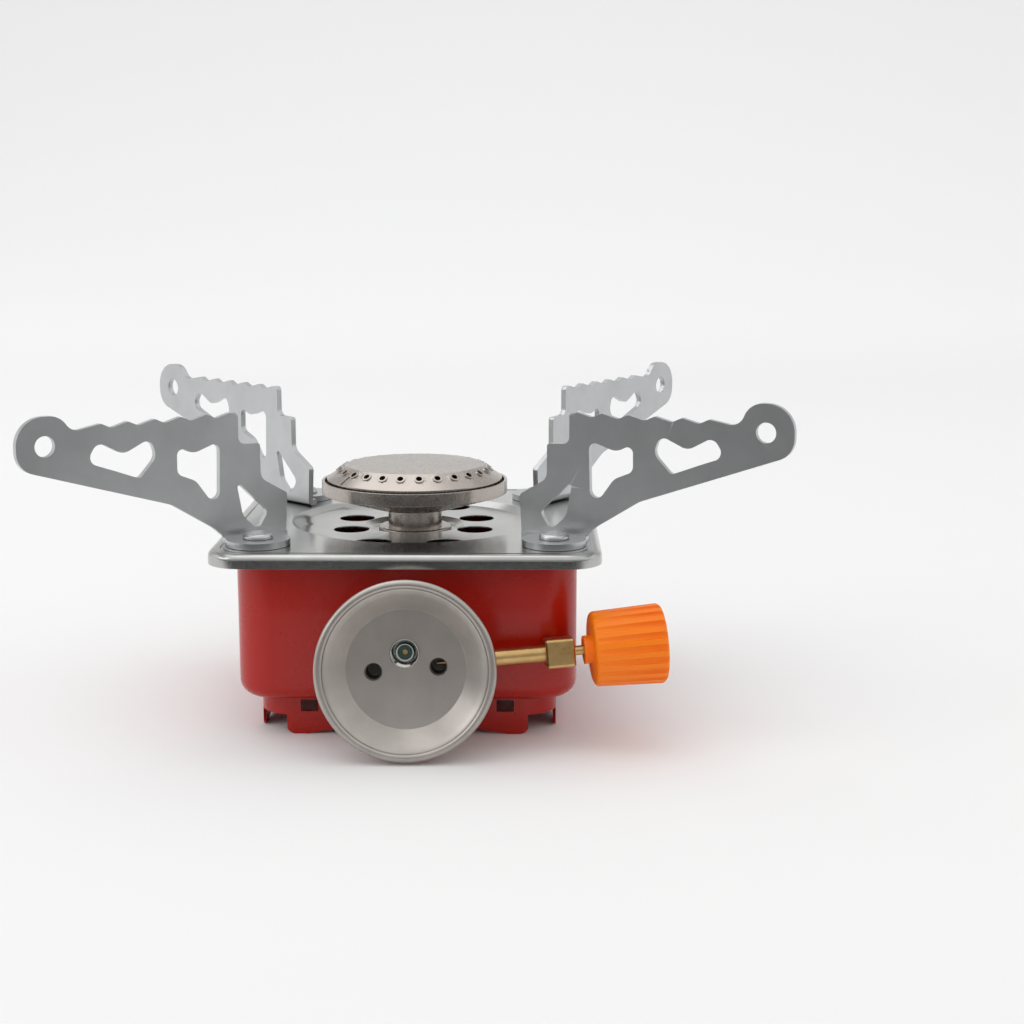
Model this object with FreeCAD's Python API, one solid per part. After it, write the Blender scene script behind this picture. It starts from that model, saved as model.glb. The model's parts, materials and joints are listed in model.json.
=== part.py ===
import FreeCAD, Part
import math
import os

from FreeCAD import Placement, Rotation, Vector

# Folding camping stove: a square red case under a square steel plate, a round burner,
# four serrated arms on rivets, and a gas valve with its canister cup in front.
# Millimetres. Z is up, X to the right, Y away from the canister cup.
# The origin is on the burner axis, in the plane of the feet.

# ---- driving dimensions ------------------------------------------------------------
CASE_SIZE = 85.6             # side of the square case
PLATE_SIZE = CASE_SIZE + 12.0    # side of the square top plate
PLATE_CORNER = 9.0
PLATE_TOP = 48.5             # height of the plate above the feet
PLATE_T = 0.8
PLATE_LIP = 3.4              # height of the plate's turned-down edge
PLATE_EDGE_R = 1.5
DISH_R = 33.0                # round recess that the burner stands in
DISH_DEPTH = 1.4
AIR_HOLE_R = 4.75
AIR_HOLES = [(16.4, 8.0), (9.2, 25.0)]     # one quarter, mirrored to the others
GROOVE_INSET = 2.6           # pressed line along the plate's edge
GROOVE_W = 0.9
GROOVE_DEPTH = 0.3

CASE_CORNER = 10.0
CASE_BOTTOM = 9.8
CASE_BOTTOM_R = 4.0
CASE_T = 0.8
TAB_REACH = 17.0             # corner tabs that the arm rivets go through

SKIRT_SIZE = CASE_SIZE - 10.0    # side of the foot skirt under the case
SKIRT_CORNER = 9.0
SKIRT_T = 0.8
SKIRT_ARCH = 2.6             # how far each side's lower edge arches up
FOOT_PAD = 5.4               # each foot's flat stretch is half of this
FOOT_OUT = SKIRT_SIZE / 2 - 6.8    # outer end of each side's wall, from the side's middle
FOOT_ROUND = 2.8             # rounding of that end's lower corner
CORNER_NOTCH_W = 10.0        # gap left at each corner of the skirt
CORNER_NOTCH_H = 5.0
VENT_W = 4.4
VENT_H = 3.1
VENT_X = FOOT_OUT - 6.2
BASE_SCREW_R = 1.5
BASE_SCREW_IN = 9.0          # base screws, in from the skirt's sides
AIR_SLOT_W = 3.0
AIR_SLOT_L = 28.0
AIR_SLOT_X = (11.5, 17.0)    # slots in the case floor, on both sides

RIVET_R = 2.5
CORNER_ROOM = CASE_SIZE / 2 - RIVET_R - 3.3
FRONT_PIVOT = (CORNER_ROOM, CORNER_ROOM - 1.5)    # arm rivets, from the burner axis
REAR_PIVOT = (CORNER_ROOM - 3.0, CORNER_ROOM - 5.5)
RIVET_HEAD_R = RIVET_R + 1.3
RIVET_HEAD_H = 1.3
RIVET_TAIL_R = RIVET_R + 0.9
WASHER_R = RIVET_R + 1.5
WASHER_T = 0.6
HINGE_CLEAR = 0.05           # radial clearance of each arm on its rivet
FACE_GAP = 0.1               # gap between faces that slide on each other

ARM_T = 1.6                  # sheet of the arms
ARM_FOOT_R = 8.0
ARM_WEB_OFFSET = 6.5         # pivot to the web's near face
ARM_BEND_R = 2.0             # outside of the bend between foot and web
ARM_TOP = 32.6               # pan support height above the plate
ARM_TOOTH_PITCH = 7.0
ARM_TOOTH_DEPTH = 1.0
ARM_TEETH = 5
ARM_FIRST_TOOTH = 9.7        # from the pivot
ARM_TIP = 52.0               # tip hole, from the pivot
ARM_TIP_Z = 28.6
ARM_TIP_R = 7.0
ARM_HOLE_R = 2.5
ARM_TOE = 12.6               # inner end of the web, behind the pivot
# pivot, side of the web (1 right of the heading, -1 left), heading at rest, extra tip height
ARMS = {
    "front_left": ((-FRONT_PIVOT[0], -FRONT_PIVOT[1]), 1, -141.0, 0.0),
    "front_right": ((FRONT_PIVOT[0], -FRONT_PIVOT[1]), -1, -25.0, 1.8),
    "rear_left": ((-REAR_PIVOT[0], REAR_PIVOT[1]), -1, 136.0, 0.0),
    "rear_right": ((REAR_PIVOT[0], REAR_PIVOT[1]), 1, 54.0, 0.0),
}

WELL_R = 11.4                # seat of the burner in the dish
WELL_DEPTH = 2.8
TUBE_R = 6.0                 # mixing tube, threaded outside
TUBE_T = 0.95
TUBE_BOTTOM = 20.0
TUBE_TOP = 7.4               # above the plate
AIR_INLET_R = 2.4
AIR_INLET_Z = 28.5
AIR_INLETS = 4
NUT_ACROSS = 2 * TUBE_R + 5.0            # nuts on the mixing tube
LOCKNUT_H = 4.0
TOP_NUT_H = 2.6
NECK_R = TUBE_R + 1.2
FLANGE_R = NECK_R + 2.6
FLANGE_H = 1.1
BOWL_R = 24.9
BOWL_TOP = 10.9              # heights above the plate
BOWL_BAND = 2.9
BOWL_BASE = 4.2
BOWL_BASE_R = NUT_ACROSS / math.sqrt(3) + 0.7
BOWL_T = 0.8
CAP_TOP = 15.0
CAP_TOP_R = 19.0
CAP_RIM_R = BOWL_R - 1.4
CAP_RIM_Z = 11.5
CAP_T = 0.8
CAP_COLLAR_R = BOWL_R - 2.0          # collar under the cap that stands on the bowl
PORTS = 26
PORT_R = 0.8
PORT_COLLAR_R = 1.3
PORT_LINE_R = 19.9
SLIT_W = 0.5
SLIT_L = 4.2
SLIT_ANGLES = (20, 152, 218)
SCREEN_R = 18.0
SCREEN_T = 0.6
SCREEN_HOLE_R = 1.1

CUP_X = 1.1                  # canister cup: rim centre
CUP_RIM_Y = -(CASE_SIZE / 2 + 17.6)
CUP_Z = 22.6
CUP_TILT = 8.0               # the cup looks up by this angle
CUP_ROLL = 4.4               # its right side is turned up
CUP_R = 22.0
CUP_BEAD_R = 1.1
CUP_MOUTH_R = 19.4
CUP_FLOOR_R = 14.6
CUP_DEPTH = 5.2
CUP_T = 1.0
CUP_HOLE_X = 7.9
CUP_HOLE_R = 2.2
INLET_UP = 3.9               # gas inlet above the cup's centre
FERRULE_R = 3.7
FERRULE_OUT = 0.6
FERRULE_CONE = 1.6           # depth of its tapered mouth
FERRULE_END = 8.0            # its inner end, behind the rim plane
FERRULE_BORE_R = 2.15
FERRULE_SHANK_R = 2.9
SEAL_IN = 0.8                # seal behind the straight bore's front
SEAL_T = 0.9
SEAL_R = 1.85
SEAL_HOLE_R = 0.7
GAS_R = 0.9                  # gas channels

BODY_W = 24.0                # valve body behind the cup
BODY_H = 15.0
BODY_D = 7.0
TAIL_R = 4.0
TAIL_END = 31.0              # end of the valve's tail behind the rim plane
TAIL_HOLE_R = TAIL_R + 0.9            # hole in the case front
TAIL_WASHER_R = TAIL_R + 2.0
WEDGE_W = 26.0               # block between valve and case
WEDGE_H = 17.0
WEDGE_SCREW_X = 10.3
WEDGE_SCREW_R = 1.5
PIPE_R = 1.7
PIPE_END = -CUP_RIM_Y - 3.0
NUT_RING_R = 3.1
PIPE_NUT_ACROSS = 7.0
PIPE_NUT_H = 5.0
HOLDER_R = TUBE_R            # jet holder on the case floor
SPIGOT_H = 2.0
JET_ACROSS = 5.0
JET_TOP = 26.0
JET_HOLE_R = 0.25

STEM_DEPTH = 8.4             # spindle axis behind the rim plane
STEM_YAW = 5.0               # it leans back towards the case
STEM_UP = 0.4                # above the cup's centre
BOSS_R = 3.0
BOSS_END = 14.0              # distances along the spindle axis
SEAT_AT = 9.0
NECK_FROM = 11.0
VALVE_NECK_R = 2.1
PACKING_FROM = CASE_SIZE / 2 - 8.8
PACKING_TO = PACKING_FROM + 7.2
PACKING_SIZE = 7.2
NECK_TO = PACKING_FROM + 3.0
SPINDLE_R = 1.2
SHOULDER_R = 1.8
SHOULDER_L = 1.1
SPINDLE_FROM = 15.6
SPINDLE_TO = PACKING_FROM + 23.0
RUN_CLEAR = 0.05             # radial clearance of spindle and needle
NEEDLE_R = 0.8
NEEDLE_FLAT = 0.8
NEEDLE_TRAVEL = 0.8
KNOB_FROM = PACKING_FROM + 9.6
KNOB_COLLAR_L = 2.0
KNOB_COLLAR_R = 3.5
KNOB_L = 17.8
KNOB_R = 9.9
KNOB_INNER_R = 9.2           # it narrows slightly towards the collar
KNOB_ROUND = 1.2
KNOB_FLUTES = 20
KNOB_FLUTE_R = 0.9
KNOB_RECESS = 4.0            # screw recess in the knob's outer end
KNOB_SCREW_HEAD_R = 2.4


# ---- small builders ----------------------------------------------------------------
def cylinder(radius, height, base=Vector(0, 0, 0), axis=Vector(0, 0, 1)):
    return Part.makeCylinder(radius, height, base, axis)


def ring(outer, inner, z0, z1):
    tube = cylinder(outer, z1 - z0, Vector(0, 0, z0))
    return tube.cut(cylinder(inner, z1 - z0 + 2, Vector(0, 0, z0 - 1)))


def slab(size_x, size_y, radius, z0, z1):
    """An upright block with rounded vertical corners, centred on the Z axis."""
    block = Part.makeBox(size_x, size_y, z1 - z0, Vector(-size_x / 2, -size_y / 2, z0))
    upright = [e for e in block.Edges if abs(e.tangentAt(e.FirstParameter).z) > 0.9]
    return block.makeFillet(radius, upright)


def turned(points):
    """A solid turned about Z from (radius, height) points."""
    corners = [Vector(r, 0, z) for r, z in points]
    face = Part.Face(Part.makePolygon(corners + corners[:1]))
    return face.revolve(Vector(0, 0, 0), Vector(0, 0, 1), 360)


def edges_at_height(shape, z):
    return [e for e in shape.Edges
            if abs(e.BoundBox.ZMin - z) < 1e-4 and abs(e.BoundBox.ZMax - z) < 1e-4]


def around(shape, count, start=0.0):
    """Copies of a shape spread evenly about Z."""
    copies = []
    for i in range(count):
        copy = shape.copy()
        copy.rotate(Vector(0, 0, 0), Vector(0, 0, 1), start + 360.0 * i / count)
        copies.append(copy)
    return copies


def four_corners(x, y):
    return [(sx * x, sy * y) for sx in (-1, 1) for sy in (-1, 1)]


def pivots():
    return [arm[0] for arm in ARMS.values()]


def line(a, b):
    return Part.LineSegment(Vector(a[0], 0, a[1]), Vector(b[0], 0, b[1])).toShape()


def arc(a, mid, b):
    points = [Vector(p[0], 0, p[1]) for p in (a, mid, b)]
    return Part.Arc(*points).toShape()


def hex_prism(across, z0, z1):
    corner = across / math.sqrt(3)
    points = [Vector(corner * math.cos(math.radians(60 * i)), corner * math.sin(math.radians(60 * i)), z0)
              for i in range(6)]
    return Part.Face(Part.makePolygon(points + points[:1])).extrude(Vector(0, 0, z1 - z0))


def rounded_outline(corners):
    """A closed outline in the XZ plane from (x, z, corner radius), as one face."""
    pieces = []
    ends = []
    count = len(corners)
    for i in range(count):
        here = Vector(corners[i][0], 0, corners[i][1])
        before = Vector(corners[i - 1][0], 0, corners[i - 1][1])
        after = Vector(corners[(i + 1) % count][0], 0, corners[(i + 1) % count][1])
        to_before = (before - here).normalize()
        to_after = (after - here).normalize()
        half = to_before.getAngle(to_after) / 2
        run = corners[i][2] / math.tan(half)
        middle = (to_before + to_after).normalize()
        centre = here + middle * (corners[i][2] / math.sin(half))
        start = here + to_before * run
        end = here + to_after * run
        nearest = centre - middle * corners[i][2]
        pieces.append(Part.Arc(start, nearest, end).toShape())
        ends.append((start, end))
    edges = []
    for i in range(count):
        edges.append(pieces[i])
        edges.append(Part.LineSegment(ends[i][1], ends[(i + 1) % count][0]).toShape())
    return Part.Face(Part.Wire(edges))


def valve_placed(shape, up=0.0):
    """Moves a part built about Z (depth behind the cup's rim) into the stove."""
    aim = math.degrees(math.atan2(CUP_X, -CUP_RIM_Y))
    turn = Rotation(Vector(0, 0, 1), aim)
    turn = turn.multiply(Rotation(Vector(1, 0, 0), -90 - CUP_TILT))
    turn = turn.multiply(Rotation(Vector(0, 0, 1), -CUP_ROLL))
    place = Placement(Vector(CUP_X, CUP_RIM_Y, CUP_Z), turn)
    lifted = Placement(Vector(0, -up, 0), Rotation())
    moved = shape.copy()
    moved.Placement = place.multiply(lifted).multiply(shape.Placement)
    return moved


def on_spindle(shape):
    """Turns a part built about Z so that it lies along the spindle axis."""
    lying = shape.copy()
    lie = Placement(Vector(0, -STEM_UP, STEM_DEPTH), Rotation(Vector(0, 1, 0), 90 - STEM_YAW))
    lying.Placement = lie.multiply(shape.Placement)
    return lying


# ---- case and plate ----------------------------------------------------------------
def top_plate():
    lip_bottom = PLATE_TOP - PLATE_LIP
    outer = slab(PLATE_SIZE, PLATE_SIZE, PLATE_CORNER, lip_bottom, PLATE_TOP)
    outer = outer.makeFillet(PLATE_EDGE_R, edges_at_height(outer, PLATE_TOP))
    inner_size = PLATE_SIZE - 2 * PLATE_T
    inside = slab(inner_size, inner_size, PLATE_CORNER - PLATE_T, lip_bottom - 1, PLATE_TOP - PLATE_T)
    inside = inside.makeFillet(PLATE_EDGE_R / 2, edges_at_height(inside, PLATE_TOP - PLATE_T))
    plate = outer.cut(inside)
    top = PLATE_TOP
    hollow = [(0, top + 1), (DISH_R, top + 1), (DISH_R, top), (DISH_R - 2, top - DISH_DEPTH),
              (WELL_R + 2, top - DISH_DEPTH), (WELL_R, top - WELL_DEPTH), (0, top - WELL_DEPTH)]
    under = [(0, top - PLATE_T), (DISH_R + 0.4, top - PLATE_T),
             (DISH_R - 1.6, top - DISH_DEPTH - PLATE_T), (WELL_R + 2.4, top - DISH_DEPTH - PLATE_T),
             (WELL_R + 0.4, top - WELL_DEPTH - PLATE_T), (0, top - WELL_DEPTH - PLATE_T)]
    plate = plate.fuse(turned(under)).cut(turned(hollow))
    groove_size = PLATE_SIZE - 2 * GROOVE_INSET
    groove = slab(groove_size, groove_size, PLATE_CORNER - GROOVE_INSET + 2,
                  top - GROOVE_DEPTH, top + 1)
    core_size = groove_size - 2 * GROOVE_W
    groove = groove.cut(slab(core_size, core_size, PLATE_CORNER - GROOVE_INSET + 1, top - 1, top + 2))
    cuts = [groove, cylinder(TUBE_R, 20, Vector(0, 0, top - 10))]
    for hole_x, hole_y in AIR_HOLES:
        for x, y in four_corners(hole_x, hole_y):
            cuts.append(cylinder(AIR_HOLE_R, 10, Vector(x, y, top - 7)))
    for x, y in pivots():
        cuts.append(cylinder(RIVET_R, 10, Vector(x, y, top - 5)))
    return plate.cut(Part.makeCompound(cuts))


def base_screw_places():
    reach = SKIRT_SIZE / 2 - BASE_SCREW_IN
    return four_corners(reach, reach)


def case_shell():
    top = PLATE_TOP - PLATE_T
    outer = slab(CASE_SIZE, CASE_SIZE, CASE_CORNER, CASE_BOTTOM, top)
    outer = outer.makeFillet(CASE_BOTTOM_R, edges_at_height(outer, CASE_BOTTOM))
    inner_size = CASE_SIZE - 2 * CASE_T
    inside = slab(inner_size, inner_size, CASE_CORNER - CASE_T, CASE_BOTTOM + CASE_T, top + 1)
    inside = inside.makeFillet(CASE_BOTTOM_R - CASE_T, edges_at_height(inside, CASE_BOTTOM + CASE_T))
    tabs = slab(CASE_SIZE - CASE_T, CASE_SIZE - CASE_T, CASE_CORNER - CASE_T / 2, top - CASE_T, top)
    open_half = CASE_SIZE / 2 - TAB_REACH
    long = CASE_SIZE + 2
    wide = Part.makeBox(2 * open_half, long, 4, Vector(-open_half, -long / 2, top - 2))
    deep = Part.makeBox(long, 2 * open_half, 4, Vector(-long / 2, -open_half, top - 2))
    shell = outer.cut(inside).fuse(tabs.cut(wide).cut(deep))
    cuts = []
    for x, y in pivots():
        cuts.append(cylinder(RIVET_R, 6, Vector(x, y, top - 4)))
    for x, y in base_screw_places():
        cuts.append(cylinder(BASE_SCREW_R, 6, Vector(x, y, CASE_BOTTOM - 3)))
    cuts.append(cylinder(BASE_SCREW_R, 6, Vector(0, 0, CASE_BOTTOM - 3)))
    cuts.append(valve_placed(cylinder(TAIL_HOLE_R, 12, Vector(0, 0, 12))))
    for x in (-WEDGE_SCREW_X, WEDGE_SCREW_X):
        hole = cylinder(WEDGE_SCREW_R, 6, Vector(x, -CASE_SIZE / 2 - 3, CUP_Z), Vector(0, 1, 0))
        cuts.append(hole)
    for slot_x in AIR_SLOT_X:
        for x in (-slot_x, slot_x):
            corner = Vector(x - AIR_SLOT_W / 2, -AIR_SLOT_L / 2, CASE_BOTTOM - 3)
            cuts.append(Part.makeBox(AIR_SLOT_W, AIR_SLOT_L, 6, corner))
    return shell.cut(Part.makeCompound(cuts))


def foot_skirt():
    half = SKIRT_SIZE / 2
    outer = slab(SKIRT_SIZE, SKIRT_SIZE, SKIRT_CORNER, 0, CASE_BOTTOM)
    inner_size = SKIRT_SIZE - 2 * SKIRT_T
    inside = slab(inner_size, inner_size, SKIRT_CORNER - SKIRT_T, -1, CASE_BOTTOM - SKIRT_T)
    skirt = outer.cut(inside)
    pad_in = FOOT_OUT - FOOT_ROUND - FOOT_PAD / 2
    arch_face = Part.Face(Part.Wire([
        line((-pad_in, 0), (-pad_in, -2)), line((-pad_in, -2), (pad_in, -2)),
        line((pad_in, -2), (pad_in, 0)), arc((pad_in, 0), (0, SKIRT_ARCH), (-pad_in, 0))]))
    arch = arch_face.extrude(Vector(0, 2 * half + 4, 0))
    arch.translate(Vector(0, -half - 2, 0))
    cuts = around(arch, 2, 0) + around(arch, 2, 90)
    reach = half * math.sqrt(2)
    vent_z = CASE_BOTTOM - SKIRT_T - VENT_H
    for turn in (0, 90, 180, 270):
        for side in (-1, 1):
            vent = Part.makeBox(VENT_W, 6, VENT_H, Vector(side * VENT_X - VENT_W / 2, -half - 3, vent_z))
            vent.rotate(Vector(0, 0, 0), Vector(0, 0, 1), turn)
            cuts.append(vent)
            rounding = Part.makeBox(FOOT_ROUND + 1, 6, FOOT_ROUND + 1,
                                    Vector(FOOT_OUT - FOOT_ROUND, -half - 3, -1))
            rounding = rounding.cut(cylinder(FOOT_ROUND, 8, Vector(FOOT_OUT - FOOT_ROUND, -half - 4, FOOT_ROUND),
                                             Vector(0, 1, 0)))
            if side < 0:
                rounding = rounding.mirror(Vector(0, 0, 0), Vector(1, 0, 0))
            rounding.rotate(Vector(0, 0, 0), Vector(0, 0, 1), turn)
            cuts.append(rounding)
        notch = Part.makeBox(10, CORNER_NOTCH_W, CORNER_NOTCH_H + 1,
                             Vector(reach - 10, -CORNER_NOTCH_W / 2, -1))
        notch.rotate(Vector(0, 0, 0), Vector(0, 0, 1), turn + 45)
        cuts.append(notch)
    window = half - 2 * BASE_SCREW_IN
    cuts.append(Part.makeBox(2 * window, 2 * window, 6, Vector(-window, -window, CASE_BOTTOM - 3)))
    for x, y in base_screw_places():
        cuts.append(cylinder(BASE_SCREW_R, 6, Vector(x, y, CASE_BOTTOM - 3)))
    return skirt.cut(Part.makeCompound(cuts))


def pan_screw(length):
    """A small cross-slot screw, head downwards, seat at z = 0."""
    head = cylinder(2.9, 1.5, Vector(0, 0, -1.5))
    head = head.makeFillet(0.7, edges_at_height(head, -1.5))
    shank = cylinder(BASE_SCREW_R, length + 0.5, Vector(0, 0, -0.5))
    cross = Part.makeBox(3.4, 0.7, 1.0, Vector(-1.7, -0.35, -1.8))
    screw = head.fuse(shank).cut(cross)
    return screw.cut(around(cross, 1, 90)[0]).removeSplitter()


def base_screws():
    screws = []
    for x, y in base_screw_places():
        screw = pan_screw(4.0)
        screw.translate(Vector(x, y, CASE_BOTTOM - SKIRT_T))
        screws.append(screw)
    return Part.makeCompound(screws)


def base_nuts():
    nuts = []
    for x, y in base_screw_places():
        nut = hex_prism(5.5, 0, 2.0).cut(cylinder(BASE_SCREW_R, 4, Vector(0, 0, -1)))
        nut.translate(Vector(x, y, CASE_BOTTOM + CASE_T))
        nuts.append(nut)
    return Part.makeCompound(nuts)


# ---- arms --------------------------------------------------------------------------
def arm_outline(lift):
    """The web's outer corners: under-edge, round tip, teeth from the tip inwards, stepped toe."""
    tip_z = ARM_TIP_Z + lift
    tip_x = ARM_TIP + ARM_TIP_R
    low = ARM_TOP - ARM_TOOTH_DEPTH
    corners = [(-ARM_TOE + 0.6, 0, 0.8), (4.0, 0, 1.5), (8.8, 4.2, 5.0), (20.0, 11.3, 9.0),
               (tip_x, 23.6 + lift, 5.4), (tip_x, tip_z + ARM_TIP_R, ARM_TIP_R - 0.2),
               (47.8, tip_z + ARM_TIP_R, 5.0), (45.4, low - 0.2, 3.4)]
    for i in reversed(range(ARM_TEETH)):
        peak = ARM_FIRST_TOOTH + i * ARM_TOOTH_PITCH
        corners.append((peak, ARM_TOP + 0.2, 0.9))
        corners.append((peak - ARM_TOOTH_PITCH * 0.36, low, 1.8))
    corners += [(3.2, ARM_TOP + 0.1, 1.8), (1.1, ARM_TOP, 1.1), (1.1, 24.6, 1.8), (-5.0, 24.4, 0.7),
                (-5.0, 15.4, 3.0), (-ARM_TOE, 10.9, 1.2)]
    return corners


def arm_openings():
    bean = [(28.3, 18.7, 1.3), (35.0, 21.3, 8.0), (42.0, 23.9, 2.1), (38.9, 28.6, 2.2), (32.4, 25.0, 3.2),
            (25.2, 28.3, 2.0), (23.6, 23.6, 3.0)]
    middle = [(6.9, 10.3, 1.8), (10.0, 12.0, 1.6), (13.3, 16.6, 4.0), (18.3, 18.7, 2.0),
              (18.2, 25.8, 1.5), (13.9, 23.4, 4.0), (6.4, 25.9, 1.7)]
    leaf = [(-3.9, 2.2, 1.8), (0.4, 6.2, 4.0), (2.1, 15.4, 0.6), (-7.0, 6.8, 1.8)]
    return [bean, middle, leaf]


def pan_arm(web_side, lift):
    """One arm, pivot on the Z axis, heading along +X, standing on z = 0."""
    start = ARM_WEB_OFFSET
    far = ARM_WEB_OFFSET + ARM_T
    web = rounded_outline(arm_outline(lift)).extrude(Vector(0, -ARM_T, 0))
    web.translate(Vector(0, -start, 0))
    bend_from = -ARM_TOE + 1.4
    bend_l = 3.2 - bend_from
    foot = cylinder(ARM_FOOT_R, ARM_T)
    foot = foot.fuse(Part.makeBox(2 * ARM_FOOT_R * 0.8, far - 1, ARM_T, Vector(-ARM_FOOT_R * 0.8, -far + 1, 0)))
    foot = foot.fuse(Part.makeBox(bend_l, 3.0, ARM_T, Vector(bend_from, -start - 1, 0)))
    foot = foot.cut(Part.makeBox(60, 20, 10, Vector(-30, -far - 20, -1)))
    arm = web.fuse(foot)
    trim = Part.makeBox(60, ARM_BEND_R, ARM_BEND_R, Vector(-30, -far - 0.001, -0.001))
    bend_axis = Vector(-31, -far + ARM_BEND_R, ARM_BEND_R)
    trim = trim.cut(cylinder(ARM_BEND_R, 62, bend_axis, Vector(1, 0, 0)))
    arm = arm.cut(trim)
    cuts = [cylinder(RIVET_R + HINGE_CLEAR, 10, Vector(0, 0, -5))]
    tip = Vector(ARM_TIP, 0, ARM_TIP_Z + lift)
    cuts.append(cylinder(ARM_HOLE_R, 20, tip, Vector(0, -1, 0)))
    for outline in arm_openings():
        cutter = rounded_outline(outline).extrude(Vector(0, -20, 0))
        cuts.append(cutter)
    arm = arm.cut(Part.makeCompound(cuts)).removeSplitter()
    if web_side < 0:
        arm = arm.mirror(Vector(0, 0, 0), Vector(0, 1, 0))
    return arm


def placed_arm(name):
    pivot, web_side, heading, lift = ARMS[name]
    arm = pan_arm(web_side, lift)
    arm.rotate(Vector(0, 0, 0), Vector(0, 0, 1), heading)
    arm.translate(Vector(pivot[0], pivot[1], PLATE_TOP + FACE_GAP))
    return arm


def arm_rivets():
    head_from = PLATE_TOP + FACE_GAP + ARM_T + FACE_GAP
    tab_bottom = PLATE_TOP - PLATE_T - CASE_T
    rivets = []
    for x, y in pivots():
        shank = cylinder(RIVET_R, head_from - tab_bottom + 2, Vector(x, y, tab_bottom - 1.5))
        head = cylinder(RIVET_HEAD_R, RIVET_HEAD_H, Vector(x, y, head_from))
        head = head.makeFillet(RIVET_HEAD_H * 0.8, edges_at_height(head, head_from + RIVET_HEAD_H))
        tail = cylinder(RIVET_TAIL_R, 1.1, Vector(x, y, tab_bottom - WASHER_T - 1.1))
        rivets.append(head.fuse(shank).fuse(tail).removeSplitter())
    return Part.makeCompound(rivets)


def arm_washers():
    tab_bottom = PLATE_TOP - PLATE_T - CASE_T
    washers = []
    for x, y in pivots():
        washer = ring(WASHER_R, RIVET_R, tab_bottom - WASHER_T, tab_bottom)
        washer.translate(Vector(x, y, 0))
        washers.append(washer)
    return Part.makeCompound(washers)


# ---- burner ------------------------------------------------------------------------
def mixing_tube():
    top = PLATE_TOP + TUBE_TOP
    tube = ring(TUBE_R, TUBE_R - TUBE_T, TUBE_BOTTOM, top)
    inlet = cylinder(AIR_INLET_R, 12, Vector(0, 0, AIR_INLET_Z), Vector(1, 0, 0))
    return tube.cut(Part.makeCompound(around(inlet, AIR_INLETS, 45)))


def tube_nut(z0, height):
    nut = hex_prism(NUT_ACROSS, z0, z0 + height)
    return nut.cut(cylinder(TUBE_R, height + 2, Vector(0, 0, z0 - 1)))


def burner_locknut():
    under = PLATE_TOP - WELL_DEPTH - PLATE_T
    return tube_nut(under - LOCKNUT_H, LOCKNUT_H)


def burner_top_nut():
    return tube_nut(PLATE_TOP + BOWL_BASE, TOP_NUT_H)


def burner_base_flange():
    seat = PLATE_TOP - WELL_DEPTH
    flange = ring(FLANGE_R, TUBE_R, seat, seat + FLANGE_H)
    outer_top = [e for e in edges_at_height(flange, seat + FLANGE_H) if e.BoundBox.XMax > NECK_R + 1]
    return flange.makeFillet(FLANGE_H * 0.5, outer_top)


def burner_neck():
    seat = PLATE_TOP - WELL_DEPTH + FLANGE_H
    return ring(NECK_R, TUBE_R, seat, PLATE_TOP + BOWL_BASE - BOWL_T)


def bowl_slope():
    """Inner foot and head of the bowl's slope, as (radius, height)."""
    inner_r = BOWL_R - BOWL_T
    return (BOWL_BASE_R, PLATE_TOP + BOWL_BASE), (inner_r, PLATE_TOP + BOWL_TOP - BOWL_BAND)


def burner_bowl():
    foot, head = bowl_slope()
    rim = PLATE_TOP + BOWL_TOP
    inner = [(TUBE_R, foot[1]), foot, head, (head[0], rim)]
    outer = [(BOWL_R, rim), (BOWL_R, head[1] - BOWL_T * 0.5), (foot[0] + 0.3, foot[1] - BOWL_T),
             (TUBE_R, foot[1] - BOWL_T)]
    return turned(inner + outer)


def burner_cap():
    top = PLATE_TOP + CAP_TOP
    rim_z = PLATE_TOP + CAP_RIM_Z
    collar_r = CAP_COLLAR_R
    foot, head = bowl_slope()
    along = (collar_r - foot[0]) / (head[0] - foot[0])
    collar_end = foot[1] + along * (head[1] - foot[1])
    slope = (top - 0.5 - rim_z) / (CAP_RIM_R - CAP_TOP_R - 0.4)
    inner_r = collar_r - CAP_T
    inner_z = top - 0.5 - CAP_T - slope * (inner_r - CAP_TOP_R)
    profile = [(0, top), (CAP_TOP_R - 0.7, top), (CAP_TOP_R, top - 0.5), (CAP_RIM_R, rim_z),
               (CAP_RIM_R, rim_z - 0.4), (collar_r, rim_z - 0.4), (collar_r, collar_end),
               (inner_r, collar_end), (inner_r, inner_z - 0.5), (CAP_TOP_R - 0.7, top - CAP_T - 0.3),
               (CAP_TOP_R - 1.4, top - CAP_T), (0, top - CAP_T)]
    cap = turned(profile)
    lean = math.degrees(math.atan(slope))
    z = top - 0.5 - slope * (PORT_LINE_R - CAP_TOP_R)
    collar = cylinder(PORT_COLLAR_R, 1.0, Vector(0, 0, -0.6))
    port = cylinder(PORT_R, 6, Vector(0, 0, -3))
    for shape in (collar, port):
        shape.rotate(Vector(0, 0, 0), Vector(0, 1, 0), lean)
        shape.translate(Vector(PORT_LINE_R, 0, z))
    cap = cap.fuse(Part.makeCompound(around(collar, PORTS)))
    cuts = around(port, PORTS)
    for angle in SLIT_ANGLES:
        slit = Part.makeBox(SLIT_L, SLIT_W, 8, Vector(CAP_RIM_R - 0.1 - SLIT_L, -SLIT_W / 2, rim_z - 0.3))
        slit.rotate(Vector(0, 0, 0), Vector(0, 0, 1), angle)
        cuts.append(slit)
    return cap.cut(Part.makeCompound(cuts))


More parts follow.
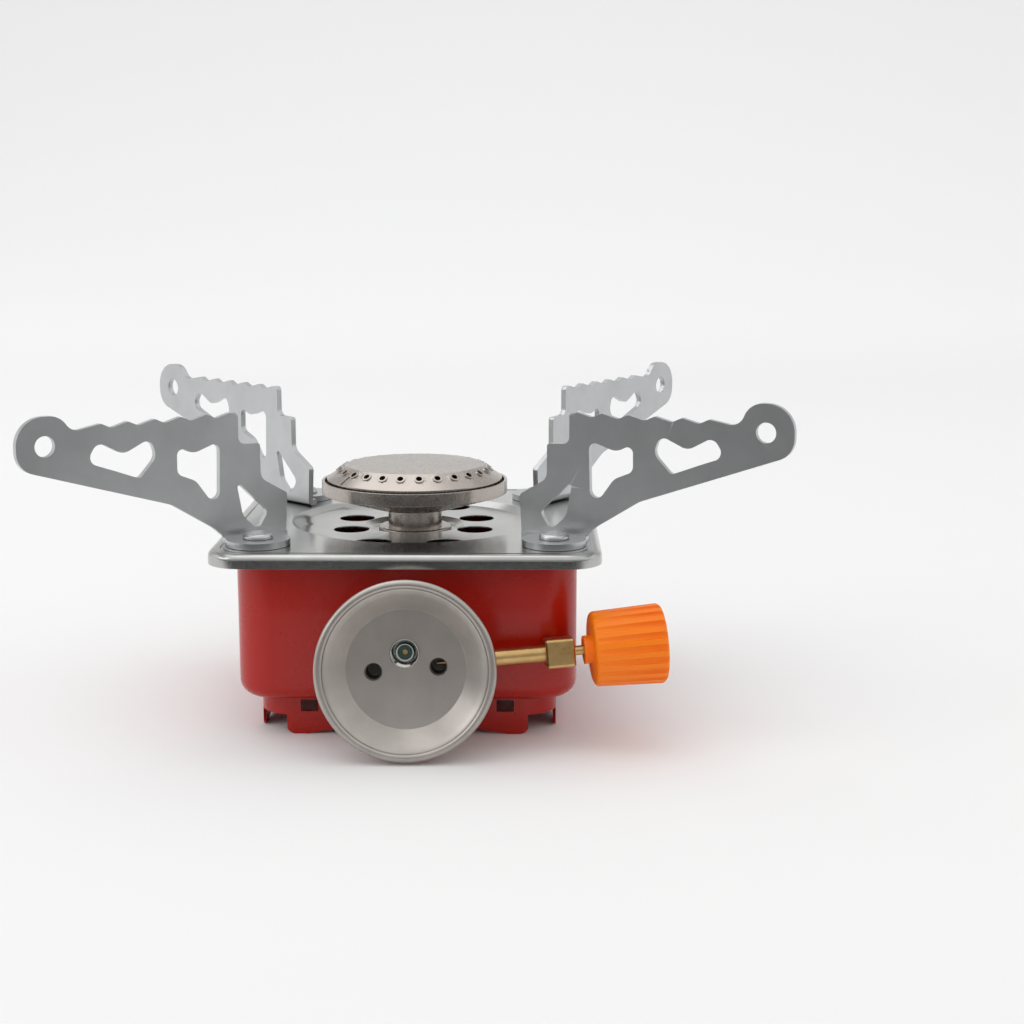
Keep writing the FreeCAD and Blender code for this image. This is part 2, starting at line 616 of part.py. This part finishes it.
def flame_screen():
    foot, head = bowl_slope()
    part_way = (SCREEN_R - foot[0]) / (head[0] - foot[0])
    z0 = foot[1] + part_way * (head[1] - foot[1])
    disc = cylinder(SCREEN_R, SCREEN_T, Vector(0, 0, z0))
    disc = disc.cut(cylinder(TUBE_R + 5, 10, Vector(0, 0, z0 - 5)))
    holes = []
    for radius, count in ((13.0, 16), (16.2, 22)):
        hole = cylinder(SCREEN_HOLE_R, 10, Vector(radius, 0, z0 - 5))
        holes += around(hole, count)
    return disc.cut(Part.makeCompound(holes))


def holder_face():
    """Depth of the face that the pipe's inner nut seats on."""
    return -CUP_RIM_Y / math.cos(math.radians(CUP_TILT)) - HOLDER_R * 0.85


def jet_holder():
    floor = CASE_BOTTOM + CASE_T
    body = cylinder(HOLDER_R, TUBE_BOTTOM - floor, Vector(0, 0, floor))
    body = body.fuse(cylinder(TUBE_R - TUBE_T, SPIGOT_H, Vector(0, 0, TUBE_BOTTOM)))
    tapped = cylinder(BASE_SCREW_R, 3.5, Vector(0, 0, floor - 1))
    pipe_hole = valve_placed(cylinder(PIPE_R, -CUP_RIM_Y))
    spot_face = valve_placed(cylinder(NUT_RING_R, 20, Vector(0, 0, holder_face() - 20)))
    gas = cylinder(GAS_R, 9, Vector(0, 0, floor + 3.6))
    seat = cylinder(1.6, 10, Vector(0, 0, TUBE_BOTTOM - 1))
    return body.cut(Part.makeCompound([tapped, gas, seat])).cut(pipe_hole).cut(spot_face).removeSplitter()


def jet():
    seat = TUBE_BOTTOM + SPIGOT_H
    thread = cylinder(1.6, seat - TUBE_BOTTOM + 1, Vector(0, 0, TUBE_BOTTOM - 1))
    nozzle = hex_prism(JET_ACROSS, seat, seat + 2.4).fuse(thread)
    tip = Part.makeCone(2.2, 1.2, JET_TOP - seat - 2.4, Vector(0, 0, seat + 2.4))
    bore = cylinder(0.8, JET_TOP - 1 - TUBE_BOTTOM + 1, Vector(0, 0, TUBE_BOTTOM - 1))
    hole = cylinder(JET_HOLE_R, 10, Vector(0, 0, JET_TOP - 5))
    return nozzle.fuse(tip).cut(bore).cut(hole).removeSplitter()


def holder_screw():
    screw = pan_screw(3.2)
    screw.translate(Vector(0, 0, CASE_BOTTOM))
    return screw


# ---- gas valve ---------------------------------------------------------------------
def canister_cup():
    bead = Part.makeTorus(CUP_R - CUP_BEAD_R, CUP_BEAD_R, Vector(0, 0, CUP_BEAD_R))
    back = CUP_DEPTH + CUP_T
    wall = turned([(0, CUP_DEPTH), (CUP_FLOOR_R, CUP_DEPTH), (CUP_MOUTH_R, 0.9), (CUP_R - CUP_BEAD_R, 0.5),
                   (CUP_R - CUP_BEAD_R, 1.7), (CUP_MOUTH_R + 0.8, 2.0), (CUP_FLOOR_R + 0.5, back), (0, back)])
    cup = wall.fuse(bead)
    cuts = [cylinder(CUP_HOLE_R, 4, Vector(side * CUP_HOLE_X, 0, CUP_DEPTH - 1)) for side in (-1, 1)]
    cuts.append(cylinder(FERRULE_SHANK_R, 4, Vector(0, -INLET_UP, CUP_DEPTH - 1)))
    return valve_placed(cup.cut(Part.makeCompound(cuts)))


def seal_front():
    return CUP_DEPTH - FERRULE_OUT + FERRULE_CONE + SEAL_IN


def inlet_ferrule():
    front = CUP_DEPTH - FERRULE_OUT
    seal = seal_front()
    edge = FERRULE_R - 0.25
    profile = [(edge - 0.15, front), (edge, front), (FERRULE_R, front + 0.25), (FERRULE_R, CUP_DEPTH),
               (FERRULE_SHANK_R, CUP_DEPTH), (FERRULE_SHANK_R, FERRULE_END), (GAS_R, FERRULE_END),
               (GAS_R, seal + SEAL_T), (SEAL_R, seal + SEAL_T), (SEAL_R, seal),
               (FERRULE_BORE_R, seal), (FERRULE_BORE_R, front + FERRULE_CONE)]
    return valve_placed(turned(profile), INLET_UP)


def inlet_seal():
    front = seal_front()
    return valve_placed(ring(SEAL_R, SEAL_HOLE_R, front, front + SEAL_T), INLET_UP)


def inlet_filter():
    front = seal_front() + SEAL_T
    return valve_placed(cylinder(GAS_R, 0.7, Vector(0, 0, front)), INLET_UP)


def valve_body():
    front = CUP_DEPTH + CUP_T
    block = slab(BODY_W, BODY_H, 2.5, front, front + BODY_D)
    tail = cylinder(TAIL_R, TAIL_END - front, Vector(0, 0, front))
    body = block.fuse(tail)
    boss = on_spindle(cylinder(BOSS_R - 1.1, BOSS_END, Vector(0, 0, 0)))
    body = body.fuse(boss)
    body = body.fuse(on_spindle(cylinder(BOSS_R, 4.0, Vector(0, 0, BOSS_END - 4.0))))
    cuts = [cylinder(FERRULE_SHANK_R, FERRULE_END - front + 1.0, Vector(0, -INLET_UP, front - 1.0)),
            cylinder(GAS_R, STEM_DEPTH + GAS_R - front, Vector(0, -INLET_UP, front)),
            cylinder(GAS_R, INLET_UP - STEM_UP, Vector(0, -INLET_UP, STEM_DEPTH), Vector(0, 1, 0)),
            on_spindle(cylinder(GAS_R, SEAT_AT, Vector(0, 0, 0))),
            on_spindle(cylinder(1.5, NECK_FROM - SEAT_AT, Vector(0, 0, SEAT_AT))),
            on_spindle(cylinder(VALVE_NECK_R, 10, Vector(0, 0, NECK_FROM))),
            cylinder(PIPE_R, 4.0, Vector(0, 0, TAIL_END - 4.0)),
            cylinder(GAS_R, TAIL_END - front - 5.5, Vector(0, 0, front + 3.5))]
    chamber = on_spindle(Part.Vertex(Vector(0, 0, (SEAT_AT + NECK_FROM) / 2))).Point
    run = Vector(0, 0, front + BODY_D) - chamber
    cuts.append(cylinder(GAS_R * 0.7, run.Length, chamber, run))
    for side in (-1, 1):
        cuts.append(cylinder(CUP_HOLE_R - 0.3, BODY_D, Vector(side * CUP_HOLE_X, 0, front - 1.0)))
    for side in (-1, 1):
        cuts.append(cylinder(WEDGE_SCREW_R, 6, Vector(side * WEDGE_SCREW_X, -5.2, front + BODY_D - 4)))
    return valve_placed(body.cut(Part.makeCompound(cuts)))


def half_space(outside):
    """Everything in front of the case front, or everything behind its inner face."""
    size = 200
    if outside:
        return Part.makeBox(size, size, size, Vector(-size / 2, -CASE_SIZE / 2 - size, -size / 2))
    return Part.makeBox(size, size, size, Vector(-size / 2, -CASE_SIZE / 2 + CASE_T, -size / 2))


def mounting_wedge():
    front = CUP_DEPTH + CUP_T + BODY_D
    block = slab(WEDGE_W, WEDGE_H, 2.5, front, front + 12)
    block = block.cut(cylinder(TAIL_R, 30, Vector(0, 0, front - 5)))
    wedge = valve_placed(block).common(half_space(True))
    for x in (-WEDGE_SCREW_X, WEDGE_SCREW_X):
        hole = cylinder(WEDGE_SCREW_R, 4.0, Vector(x, -CASE_SIZE / 2, CUP_Z), Vector(0, -1, 0))
        wedge = wedge.cut(hole)
    return wedge


def wedge_screws():
    screws = []
    for x in (-WEDGE_SCREW_X, WEDGE_SCREW_X):
        screw = pan_screw(3.6)
        screw.rotate(Vector(0, 0, 0), Vector(1, 0, 0), 90)
        screw.translate(Vector(x, -CASE_SIZE / 2 + CASE_T, CUP_Z))
        screws.append(screw)
    return Part.makeCompound(screws)


def tail_washer():
    block = ring(TAIL_WASHER_R, TAIL_R, 14, 21.5)
    return valve_placed(block).common(half_space(False))


def tail_nut():
    nut = hex_prism(11.0, 21.5, 25.0).cut(cylinder(TAIL_R, 8, Vector(0, 0, 20)))
    return valve_placed(nut)


def feed_pipe():
    start = TAIL_END - 4.0
    pipe = ring(PIPE_R, GAS_R, start, PIPE_END)
    return valve_placed(pipe)


def pipe_nuts():
    bore = cylinder(PIPE_R, 80)
    near = hex_prism(PIPE_NUT_ACROSS, TAIL_END, TAIL_END + PIPE_NUT_H).cut(bore)
    far = ring(NUT_RING_R, PIPE_R, holder_face() - 3.2, holder_face())
    return Part.makeCompound([valve_placed(near), valve_placed(far)])


def valve_neck():
    tube = ring(VALVE_NECK_R, SPINDLE_R + RUN_CLEAR, NECK_FROM, NECK_TO)
    key = Part.makeBox(4, 4, SPINDLE_FROM - 0.1 - NECK_FROM, Vector(-2, NEEDLE_FLAT + RUN_CLEAR, NECK_FROM))
    key = key.common(cylinder(SPINDLE_R + RUN_CLEAR + 0.3, 30, Vector(0, 0, NECK_FROM - 1)))
    return valve_placed(on_spindle(tube.fuse(key)))


def packing_nut():
    half = PACKING_SIZE / 2
    nut = slab(PACKING_SIZE, PACKING_SIZE, 0.9, PACKING_FROM, PACKING_TO)
    ends = edges_at_height(nut, PACKING_TO) + edges_at_height(nut, PACKING_FROM)
    nut = nut.makeChamfer(half * 0.12, ends)
    inner = cylinder(VALVE_NECK_R, PACKING_TO - 1.4 - PACKING_FROM + 1, Vector(0, 0, PACKING_FROM - 1))
    end_hole = cylinder(SPINDLE_R + RUN_CLEAR, 10, Vector(0, 0, PACKING_TO - 5))
    return valve_placed(on_spindle(nut.cut(inner).cut(end_hole)))


def spindle_seal():
    start = NECK_TO + FACE_GAP + SHOULDER_L + FACE_GAP
    return valve_placed(on_spindle(ring(VALVE_NECK_R, SPINDLE_R + RUN_CLEAR, start, PACKING_TO - 1.4)))


def spindle():
    rod = cylinder(SPINDLE_R, SPINDLE_TO - SPINDLE_FROM, Vector(0, 0, SPINDLE_FROM))
    shoulder = cylinder(SHOULDER_R, SHOULDER_L, Vector(0, 0, NECK_TO + FACE_GAP))
    bore = cylinder(NEEDLE_R + RUN_CLEAR, 7.0, Vector(0, 0, SPINDLE_FROM - 1))
    tapped = cylinder(0.7, 4.0, Vector(0, 0, SPINDLE_TO - 3.0))
    return valve_placed(on_spindle(rod.fuse(shoulder).cut(bore).cut(tapped).removeSplitter()))


def valve_needle():
    shank_end = SPINDLE_FROM + 5.0 - NEEDLE_TRAVEL
    head_end = SPINDLE_FROM - NEEDLE_TRAVEL - 0.2
    head = cylinder(SPINDLE_R, head_end - NECK_FROM - 0.3, Vector(0, 0, NECK_FROM + 0.3))
    head = head.cut(Part.makeBox(4, 4, 10, Vector(-2, NEEDLE_FLAT, NECK_FROM - 1)))
    shank = cylinder(NEEDLE_R, shank_end - NECK_FROM - 1, Vector(0, 0, NECK_FROM + 1))
    point = Part.makeCone(0.2, NEEDLE_R, NECK_FROM + 0.5 - SEAT_AT + 1.6, Vector(0, 0, SEAT_AT - 1.6))
    return valve_placed(on_spindle(head.fuse(shank).fuse(point).removeSplitter()))


def knob():
    start = KNOB_FROM + KNOB_COLLAR_L
    end = start + KNOB_L
    grip = Part.makeCone(KNOB_INNER_R, KNOB_R, KNOB_L, Vector(0, 0, start))
    grip = grip.makeFillet(KNOB_ROUND, edges_at_height(grip, start) + edges_at_height(grip, end))
    flute_axis = KNOB_R - KNOB_FLUTE_R * 0.1
    flute = cylinder(KNOB_FLUTE_R, KNOB_L + 4, Vector(flute_axis, 0, start - 2))
    grip = grip.cut(Part.makeCompound(around(flute, KNOB_FLUTES)))
    collar = cylinder(KNOB_COLLAR_R, KNOB_COLLAR_L + 1, Vector(0, 0, KNOB_FROM))
    recess = cylinder(KNOB_SCREW_HEAD_R + 0.4, 10, Vector(0, 0, end - KNOB_RECESS))
    socket = cylinder(SPINDLE_R, SPINDLE_TO - KNOB_FROM + 1, Vector(0, 0, KNOB_FROM - 1))
    through = cylinder(0.7, 20, Vector(0, 0, SPINDLE_TO - 1))
    return valve_placed(on_spindle(grip.fuse(collar).cut(recess).cut(socket).cut(through)))


def knob_screw():
    seat = KNOB_FROM + KNOB_COLLAR_L + KNOB_L - KNOB_RECESS
    head = cylinder(KNOB_SCREW_HEAD_R, 1.3, Vector(0, 0, seat))
    head = head.makeFillet(0.5, edges_at_height(head, seat + 1.3))
    shank = cylinder(0.7, seat + 0.2 - SPINDLE_TO + 2.4, Vector(0, 0, SPINDLE_TO - 2.4))
    slot = Part.makeBox(0.6, 8, 1, Vector(-0.3, -4, seat + 0.8))
    return valve_placed(on_spindle(head.fuse(shank).cut(slot).removeSplitter()))


# ---- everything, one file for each part ----------------------------------------------
PARTS = {
    "top_plate": top_plate, "case_shell": case_shell, "foot_skirt": foot_skirt,
    "base_screws": base_screws, "base_nuts": base_nuts,
    "arm_rivets": arm_rivets, "arm_washers": arm_washers,
    "mixing_tube": mixing_tube, "burner_locknut": burner_locknut, "burner_top_nut": burner_top_nut,
    "burner_base_flange": burner_base_flange, "burner_neck": burner_neck, "burner_bowl": burner_bowl,
    "burner_cap": burner_cap, "flame_screen": flame_screen,
    "jet_holder": jet_holder, "jet": jet, "holder_screw": holder_screw,
    "canister_cup": canister_cup, "inlet_ferrule": inlet_ferrule, "inlet_seal": inlet_seal,
    "inlet_filter": inlet_filter, "valve_body": valve_body, "mounting_wedge": mounting_wedge,
    "wedge_screws": wedge_screws, "tail_washer": tail_washer, "tail_nut": tail_nut,
    "feed_pipe": feed_pipe, "pipe_nuts": pipe_nuts, "valve_neck": valve_neck,
    "packing_nut": packing_nut, "spindle_seal": spindle_seal, "spindle": spindle,
    "valve_needle": valve_needle, "knob": knob, "knob_screw": knob_screw,
}

os.makedirs("parts", exist_ok=True)
for arm_name in ARMS:
    placed_arm(arm_name).exportStep("parts/arm_" + arm_name + ".step")
for part_name, build in PARTS.items():
    build().exportStep("parts/" + part_name + ".step")
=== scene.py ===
import json
import math

import bpy
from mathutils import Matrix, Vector

# Folding camping stove: finishes for its parts, a pale studio round it and one camera.
# Sizes are in metres, and texture sizes are given in millimetres.
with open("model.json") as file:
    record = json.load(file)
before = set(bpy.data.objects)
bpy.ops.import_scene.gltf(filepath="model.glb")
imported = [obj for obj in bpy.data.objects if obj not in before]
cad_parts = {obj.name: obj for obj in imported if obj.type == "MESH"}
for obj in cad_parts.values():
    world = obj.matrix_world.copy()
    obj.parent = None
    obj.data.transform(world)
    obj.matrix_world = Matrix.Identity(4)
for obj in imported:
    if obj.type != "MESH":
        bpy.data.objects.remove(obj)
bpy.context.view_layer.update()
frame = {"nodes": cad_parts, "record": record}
nodes = frame["nodes"]

MM = 0.001
ROUGH_SWING = 0.03           # how far a steel's roughness strays either way
PATCH_MM = 9.0               # size of the duller and brighter patches on steel


# ---- colours and node helper ---------------------------------------------------------
def linear(hex_code):
    """An sRGB hex colour as linear red, green, blue and full alpha."""
    channels = []
    for start in (0, 2, 4):
        value = int(hex_code[start:start + 2], 16) / 255
        channels.append(value / 12.92 if value <= 0.04045 else ((value + 0.055) / 1.055) ** 2.4)
    return (*channels, 1.0)


def add_node(tree, kind, settings=None, inputs=None, links=None):
    """One node with its settings, its fixed inputs and the sockets that feed it."""
    node = tree.nodes.new(kind)
    for name, value in (settings or {}).items():
        setattr(node, name, value)
    for name, value in (inputs or {}).items():
        node.inputs[name].default_value = value
    for name, source in (links or {}).items():
        tree.links.new(source, node.inputs[name])
    return node


def new_material(name):
    material = bpy.data.materials.new(name)
    material.use_nodes = True
    material.node_tree.nodes.clear()
    return material, material.node_tree


def finish_material(material, shader):
    tree = material.node_tree
    add_node(tree, "ShaderNodeOutputMaterial", links={"Surface": shader.outputs[0]})
    return material


def object_space(tree, stretch=(1, 1, 1)):
    """Object coordinates in millimetres, stretched for grain that runs one way."""
    coords = add_node(tree, "ShaderNodeTexCoord")
    scale = [s / MM for s in stretch]
    return add_node(tree, "ShaderNodeMapping", inputs={"Scale": scale},
                    links={"Vector": coords.outputs["Object"]}).outputs[0]


def noise(tree, space, size_mm, detail=3.0, roughness=0.55):
    return add_node(tree, "ShaderNodeTexNoise",
                    inputs={"Scale": 1 / size_mm, "Detail": detail, "Roughness": roughness},
                    links={"Vector": space}).outputs["Fac"]


def spread(tree, value, low, high):
    """Maps the middle of a noise onto the range low to high."""
    return add_node(tree, "ShaderNodeMapRange",
                    inputs={"From Min": 0.3, "From Max": 0.7, "To Min": low, "To Max": high},
                    links={"Value": value}).outputs[0]


def two_tone(tree, value, dark, light):
    ramp = add_node(tree, "ShaderNodeMix", {"data_type": "RGBA"}, links={"Factor": value})
    ramp.inputs[6].default_value = linear(dark)
    ramp.inputs[7].default_value = linear(light)
    return ramp.outputs[2]


def bump(tree, height, depth_mm):
    return add_node(tree, "ShaderNodeBump", inputs={"Distance": depth_mm * MM, "Strength": 1.0},
                    links={"Height": height}).outputs[0]


# ---- materials -------------------------------------------------------------------------
def rolled_steel(name, dark, light, rough, grain_mm, grain_depth):
    """Stainless steel sheet as it leaves the rolls and the press: a soft sheen broken by
    fine grain, with slightly duller and brighter patches."""
    material, tree = new_material(name)
    fine = noise(tree, object_space(tree), grain_mm, 4.0)
    broad = noise(tree, object_space(tree), PATCH_MM, 4.0)
    shader = add_node(tree, "ShaderNodeBsdfPrincipled", inputs={"Metallic": 1.0}, links={
        "Base Color": two_tone(tree, spread(tree, broad, 0, 1), dark, light),
        "Roughness": spread(tree, fine, rough - ROUGH_SWING, rough + ROUGH_SWING),
        "Normal": bump(tree, fine, grain_depth)})
    return finish_material(material, shader)


def gloss_red_paint():
    """Red stove enamel sprayed on steel: deep gloss with a faint orange-peel ripple."""
    material, tree = new_material("gloss_red_enamel_on_steel")
    ripple = noise(tree, object_space(tree), 4.0, 0.0)
    specks = noise(tree, object_space(tree), 14.0, 3.0)
    shader = add_node(tree, "ShaderNodeBsdfPrincipled", inputs={
        "IOR": 1.4, "Coat Weight": 0.15, "Coat Roughness": 0.06}, links={
        "Base Color": two_tone(tree, specks, "A81303", "B01505"),
        "Roughness": spread(tree, specks, 0.24, 0.32),
        "Normal": bump(tree, ripple, 0.0015)})
    return finish_material(material, shader)


def cast_zinc():
    """Zinc alloy as it comes from the casting die: dark grey, dull, with a fine sandy skin."""
    material, tree = new_material("die_cast_zinc_alloy")
    skin = noise(tree, object_space(tree), 0.3, 4.0)
    tint = noise(tree, object_space(tree), 5.0, 3.0)
    shader = add_node(tree, "ShaderNodeBsdfPrincipled", inputs={"Metallic": 1.0}, links={
        "Base Color": two_tone(tree, spread(tree, tint, 0, 1), "625F5A", "7B7873"),
        "Roughness": spread(tree, skin, 0.42, 0.56),
        "Normal": bump(tree, skin, 0.02)})
    return finish_material(material, shader)


def turned_brass():
    """Brass turned on a lathe and handled: warm metal with a slightly dull skin."""
    material, tree = new_material("turned_brass")
    skin = noise(tree, object_space(tree), 2.5, 4.0)
    rings = noise(tree, object_space(tree, (6, 1, 1)), 1.2, 2.0)
    shader = add_node(tree, "ShaderNodeBsdfPrincipled", inputs={"Metallic": 1.0}, links={
        "Base Color": two_tone(tree, spread(tree, skin, 0, 1), "C4A067", "D6B47C"),
        "Roughness": spread(tree, skin, 0.26, 0.34),
        "Normal": bump(tree, rings, 0.002)})
    return finish_material(material, shader)


def polished_chrome():
    """Chrome plating on a turned ring: a clean mirror with bright rims."""
    material, tree = new_material("polished_chrome_plate")
    haze = noise(tree, object_space(tree), 3.0)
    shader = add_node(tree, "ShaderNodeBsdfPrincipled", inputs={
        "Metallic": 1.0, "Base Color": linear("E4E2DE")},
        links={"Roughness": spread(tree, haze, 0.05, 0.10)})
    return finish_material(material, shader)


def moulded_seal_rubber():
    """Nitrile rubber moulded as a seal: dark green, dull, faintly grainy."""
    material, tree = new_material("moulded_green_nitrile_rubber")
    grain = noise(tree, object_space(tree), 0.5, 3.0)
    shader = add_node(tree, "ShaderNodeBsdfPrincipled", inputs={"IOR": 1.52}, links={
        "Base Color": two_tone(tree, grain, "18332F", "2B4F49"),
        "Roughness": spread(tree, grain, 0.42, 0.60),
        "Normal": bump(tree, grain, 0.03)})
    return finish_material(material, shader)


def moulded_orange_plastic():
    """Glass-filled nylon moulded in orange: bright, half dull, with a fine spark texture."""
    material, tree = new_material("moulded_orange_nylon")
    grain = noise(tree, object_space(tree), 0.45, 3.0)
    flow = noise(tree, object_space(tree), 7.0, 2.0)
    shader = add_node(tree, "ShaderNodeBsdfPrincipled", inputs={
        "IOR": 1.42, "Subsurface Weight": 0.08, "Subsurface Radius": (0.002, 0.0006, 0.0002),
        "Subsurface Scale": 1.0}, links={
        "Base Color": two_tone(tree, flow, "FF7C00", "FF880A"),
        "Roughness": spread(tree, grain, 0.34, 0.46),
        "Normal": bump(tree, grain, 0.004)})
    return finish_material(material, shader)


def studio_floor():
    """Matt paper sweep: plain and pale, so that only the soft shadow shows."""
    material, tree = new_material("matt_paper_sweep")
    shader = add_node(tree, "ShaderNodeBsdfPrincipled", inputs={
        "Base Color": linear("F3F3F3"), "Roughness": 0.95, "Specular IOR Level": 0.1})
    return finish_material(material, shader)


# ---- finishing the parts ----------------------------------------------------------------
PLATE_STEEL = rolled_steel("bright_rolled_stainless_sheet", "B2B2B0", "BEBEBC", 0.2, 0.5, 0.001)
ARM_STEEL = rolled_steel("tumbled_stainless_sheet", "BBBDBE", "C6C8C9", 0.34, 0.3, 0.004)
BURNER_STEEL = rolled_steel("spun_stainless_sheet", "B0A8A2", "BAB2AB", 0.27, 1.2, 0.0004)
CUP_STEEL = rolled_steel("pressed_satin_steel_sheet", "ABA5A0", "B8B2AC", 0.36, 0.4, 0.003)
FITTING_STEEL = rolled_steel("zinc_plated_steel", "B9BABA", "C4C5C5", 0.28, 1.2, 0.0004)
RED_PAINT = gloss_red_paint()
CAST_ZINC = cast_zinc()
BRASS = turned_brass()
CHROME = polished_chrome()
SEAL_RUBBER = moulded_seal_rubber()
ORANGE_PLASTIC = moulded_orange_plastic()

FINISHES = {
    "steel_plate": PLATE_STEEL, "steel_arm": ARM_STEEL, "burner_steel": BURNER_STEEL,
    "cup_steel": CUP_STEEL, "red_paint": RED_PAINT, "zinc_steel": FITTING_STEEL, "cast_zinc": CAST_ZINC,
    "brass": BRASS, "chrome": CHROME, "green_rubber": SEAL_RUBBER, "orange_plastic": ORANGE_PLASTIC,
}
# edge rounding in millimetres where the part's edges catch the light
EDGE_ROUND = {
    "arm_front_left": 0.22, "arm_front_right": 0.22, "arm_rear_left": 0.22, "arm_rear_right": 0.22,
    "knob": 0.25, "packing_nut": 0.2, "canister_cup": 0.15, "case_shell": 0.12, "top_plate": 0.12,
    "foot_skirt": 0.15, "burner_cap": 0.08, "burner_bowl": 0.12, "burner_base_flange": 0.15,
    "valve_body": 0.25, "mounting_wedge": 0.3, "base_screws": 0.1, "arm_rivets": 0.1,
}


def dress(node, finish):
    """Gives a part its finish and rounds its edges for the light."""
    node.data.materials.clear()
    node.data.materials.append(finish)
    for polygon in node.data.polygons:
        polygon.material_index = 0
    if node.name in EDGE_ROUND:
        weld = node.modifiers.new("joined_faces", "WELD")
        weld.merge_threshold = 0.01 * MM
        rounding = node.modifiers.new("rounded_edges", "BEVEL")
        rounding.width = EDGE_ROUND[node.name] * MM
        rounding.segments = 2
        rounding.limit_method = "ANGLE"
        rounding.angle_limit = math.radians(35)
        rounding.use_clamp_overlap = True
        rounding.harden_normals = False
        even = node.modifiers.new("even_shading", "WEIGHTED_NORMAL")
        even.keep_sharp = False


for subpart in frame["record"]["subparts"]:
    dress(nodes[subpart["node"]], FINISHES[subpart["material_slot"]])


# ---- studio --------------------------------------------------------------------------------
def sheet(name, corners, faces, finish):
    mesh = bpy.data.meshes.new(name)
    mesh.from_pydata(corners, [], faces)
    for polygon in mesh.polygons:
        polygon.use_smooth = True
    card = bpy.data.objects.new(name, mesh)
    bpy.context.scene.collection.objects.link(card)
    card.data.materials.append(finish)
    return card


def floor_sweep():
    """Paper that lies flat under the stove and curves up far behind it."""
    side = 6.0
    start = 1.6
    radius = 2.4
    steps = 24
    top = 5.0
    profile = [(-side, 0.0)]
    for step in range(steps + 1):
        angle = math.pi / 2 * step / steps
        profile.append((start + radius * math.sin(angle), radius * (1 - math.cos(angle))))
    profile.append((start + radius, top))
    corners = [(x, y, z) for y, z in profile for x in (-side, side)]
    faces = [(2 * i, 2 * i + 1, 2 * i + 3, 2 * i + 2) for i in range(len(profile) - 1)]
    sheet("floor_sweep", corners, faces, studio_floor())


def dark_card():
    """Black card on the floor in front, seen only in reflections: it darkens the plate's edge."""
    material, tree = new_material("black_card")
    shader = add_node(tree, "ShaderNodeBsdfPrincipled", inputs={
        "Base Color": linear("161616"), "Roughness": 0.9})
    side, near, far, lift = 1.2, -0.17, -1.6, 0.002
    corners = [(-side, far, lift), (side, far, lift), (side, near, lift), (-side, near, lift)]
    card = sheet("dark_card", corners, [(0, 1, 2, 3)], finish_material(material, shader))
    card.visible_camera = False
    card.visible_diffuse = False
    card.visible_shadow = False


def soft_light(name, place, size, power, aim=(0, 0, 0.04)):
    light = bpy.data.lights.new(name, "AREA")
    light.shape = "RECTANGLE"
    light.size, light.size_y = size
    light.energy = power
    lamp = bpy.data.objects.new(name, light)
    lamp.location = place
    lamp.rotation_euler = (Vector(aim) - Vector(place)).to_track_quat("-Z", "Y").to_euler()
    bpy.context.scene.collection.objects.link(lamp)


def pale_room():
    """White all round and overhead, dim low down in front."""
    world = bpy.data.worlds.new("pale_room")
    world.use_nodes = True
    tree = world.node_tree
    around = add_node(tree, "ShaderNodeTexCoord").outputs["Generated"]
    lift = add_node(tree, "ShaderNodeVectorMath", {"operation": "DOT_PRODUCT"},
                    links={0: around})
    lift.inputs[1].default_value = (0.0, 0.9, 1.3)
    level = add_node(tree, "ShaderNodeMapRange", {"interpolation_type": "SMOOTHSTEP"}, inputs={
        "From Min": -0.6, "From Max": 0.4, "To Min": 0.38, "To Max": 0.97},
        links={"Value": lift.outputs["Value"]}).outputs[0]
    light = tree.nodes["Background"]
    light.inputs["Color"].default_value = linear("FFFFFF")
    tree.links.new(level, light.inputs["Strength"])
    bpy.context.scene.world = world


def studio():
    floor_sweep()
    dark_card()
    pale_room()
    soft_light("overhead_softbox", (-0.5, 0.3, 1.6), (1.5, 1.5), 5.0)
    soft_light("left_softbox", (-1.4, -0.6, 0.9), (0.9, 0.9), 3.0)
    soft_light("backdrop_light", (0, 0.8, 1.8), (3.0, 0.6), 14.0, (0, 4.0, 1.8))
    bpy.context.scene.view_settings.view_transform = "Standard"
    bpy.context.scene.view_settings.look = "None"


def camera():
    lens = bpy.data.cameras.new("camera")
    lens.sensor_width = 36.0
    lens.lens = 60.35
    lens.clip_start = 0.01
    eye = bpy.data.objects.new("camera", lens)
    eye.location = (29.9 * MM, -455.9 * MM, 134.8 * MM)
    forward = Vector((-0.008, 0.9832, -0.1822))
    eye.rotation_euler = forward.to_track_quat("-Z", "Y").to_euler()
    bpy.context.scene.collection.objects.link(eye)
    bpy.context.scene.camera = eye


studio()
camera()
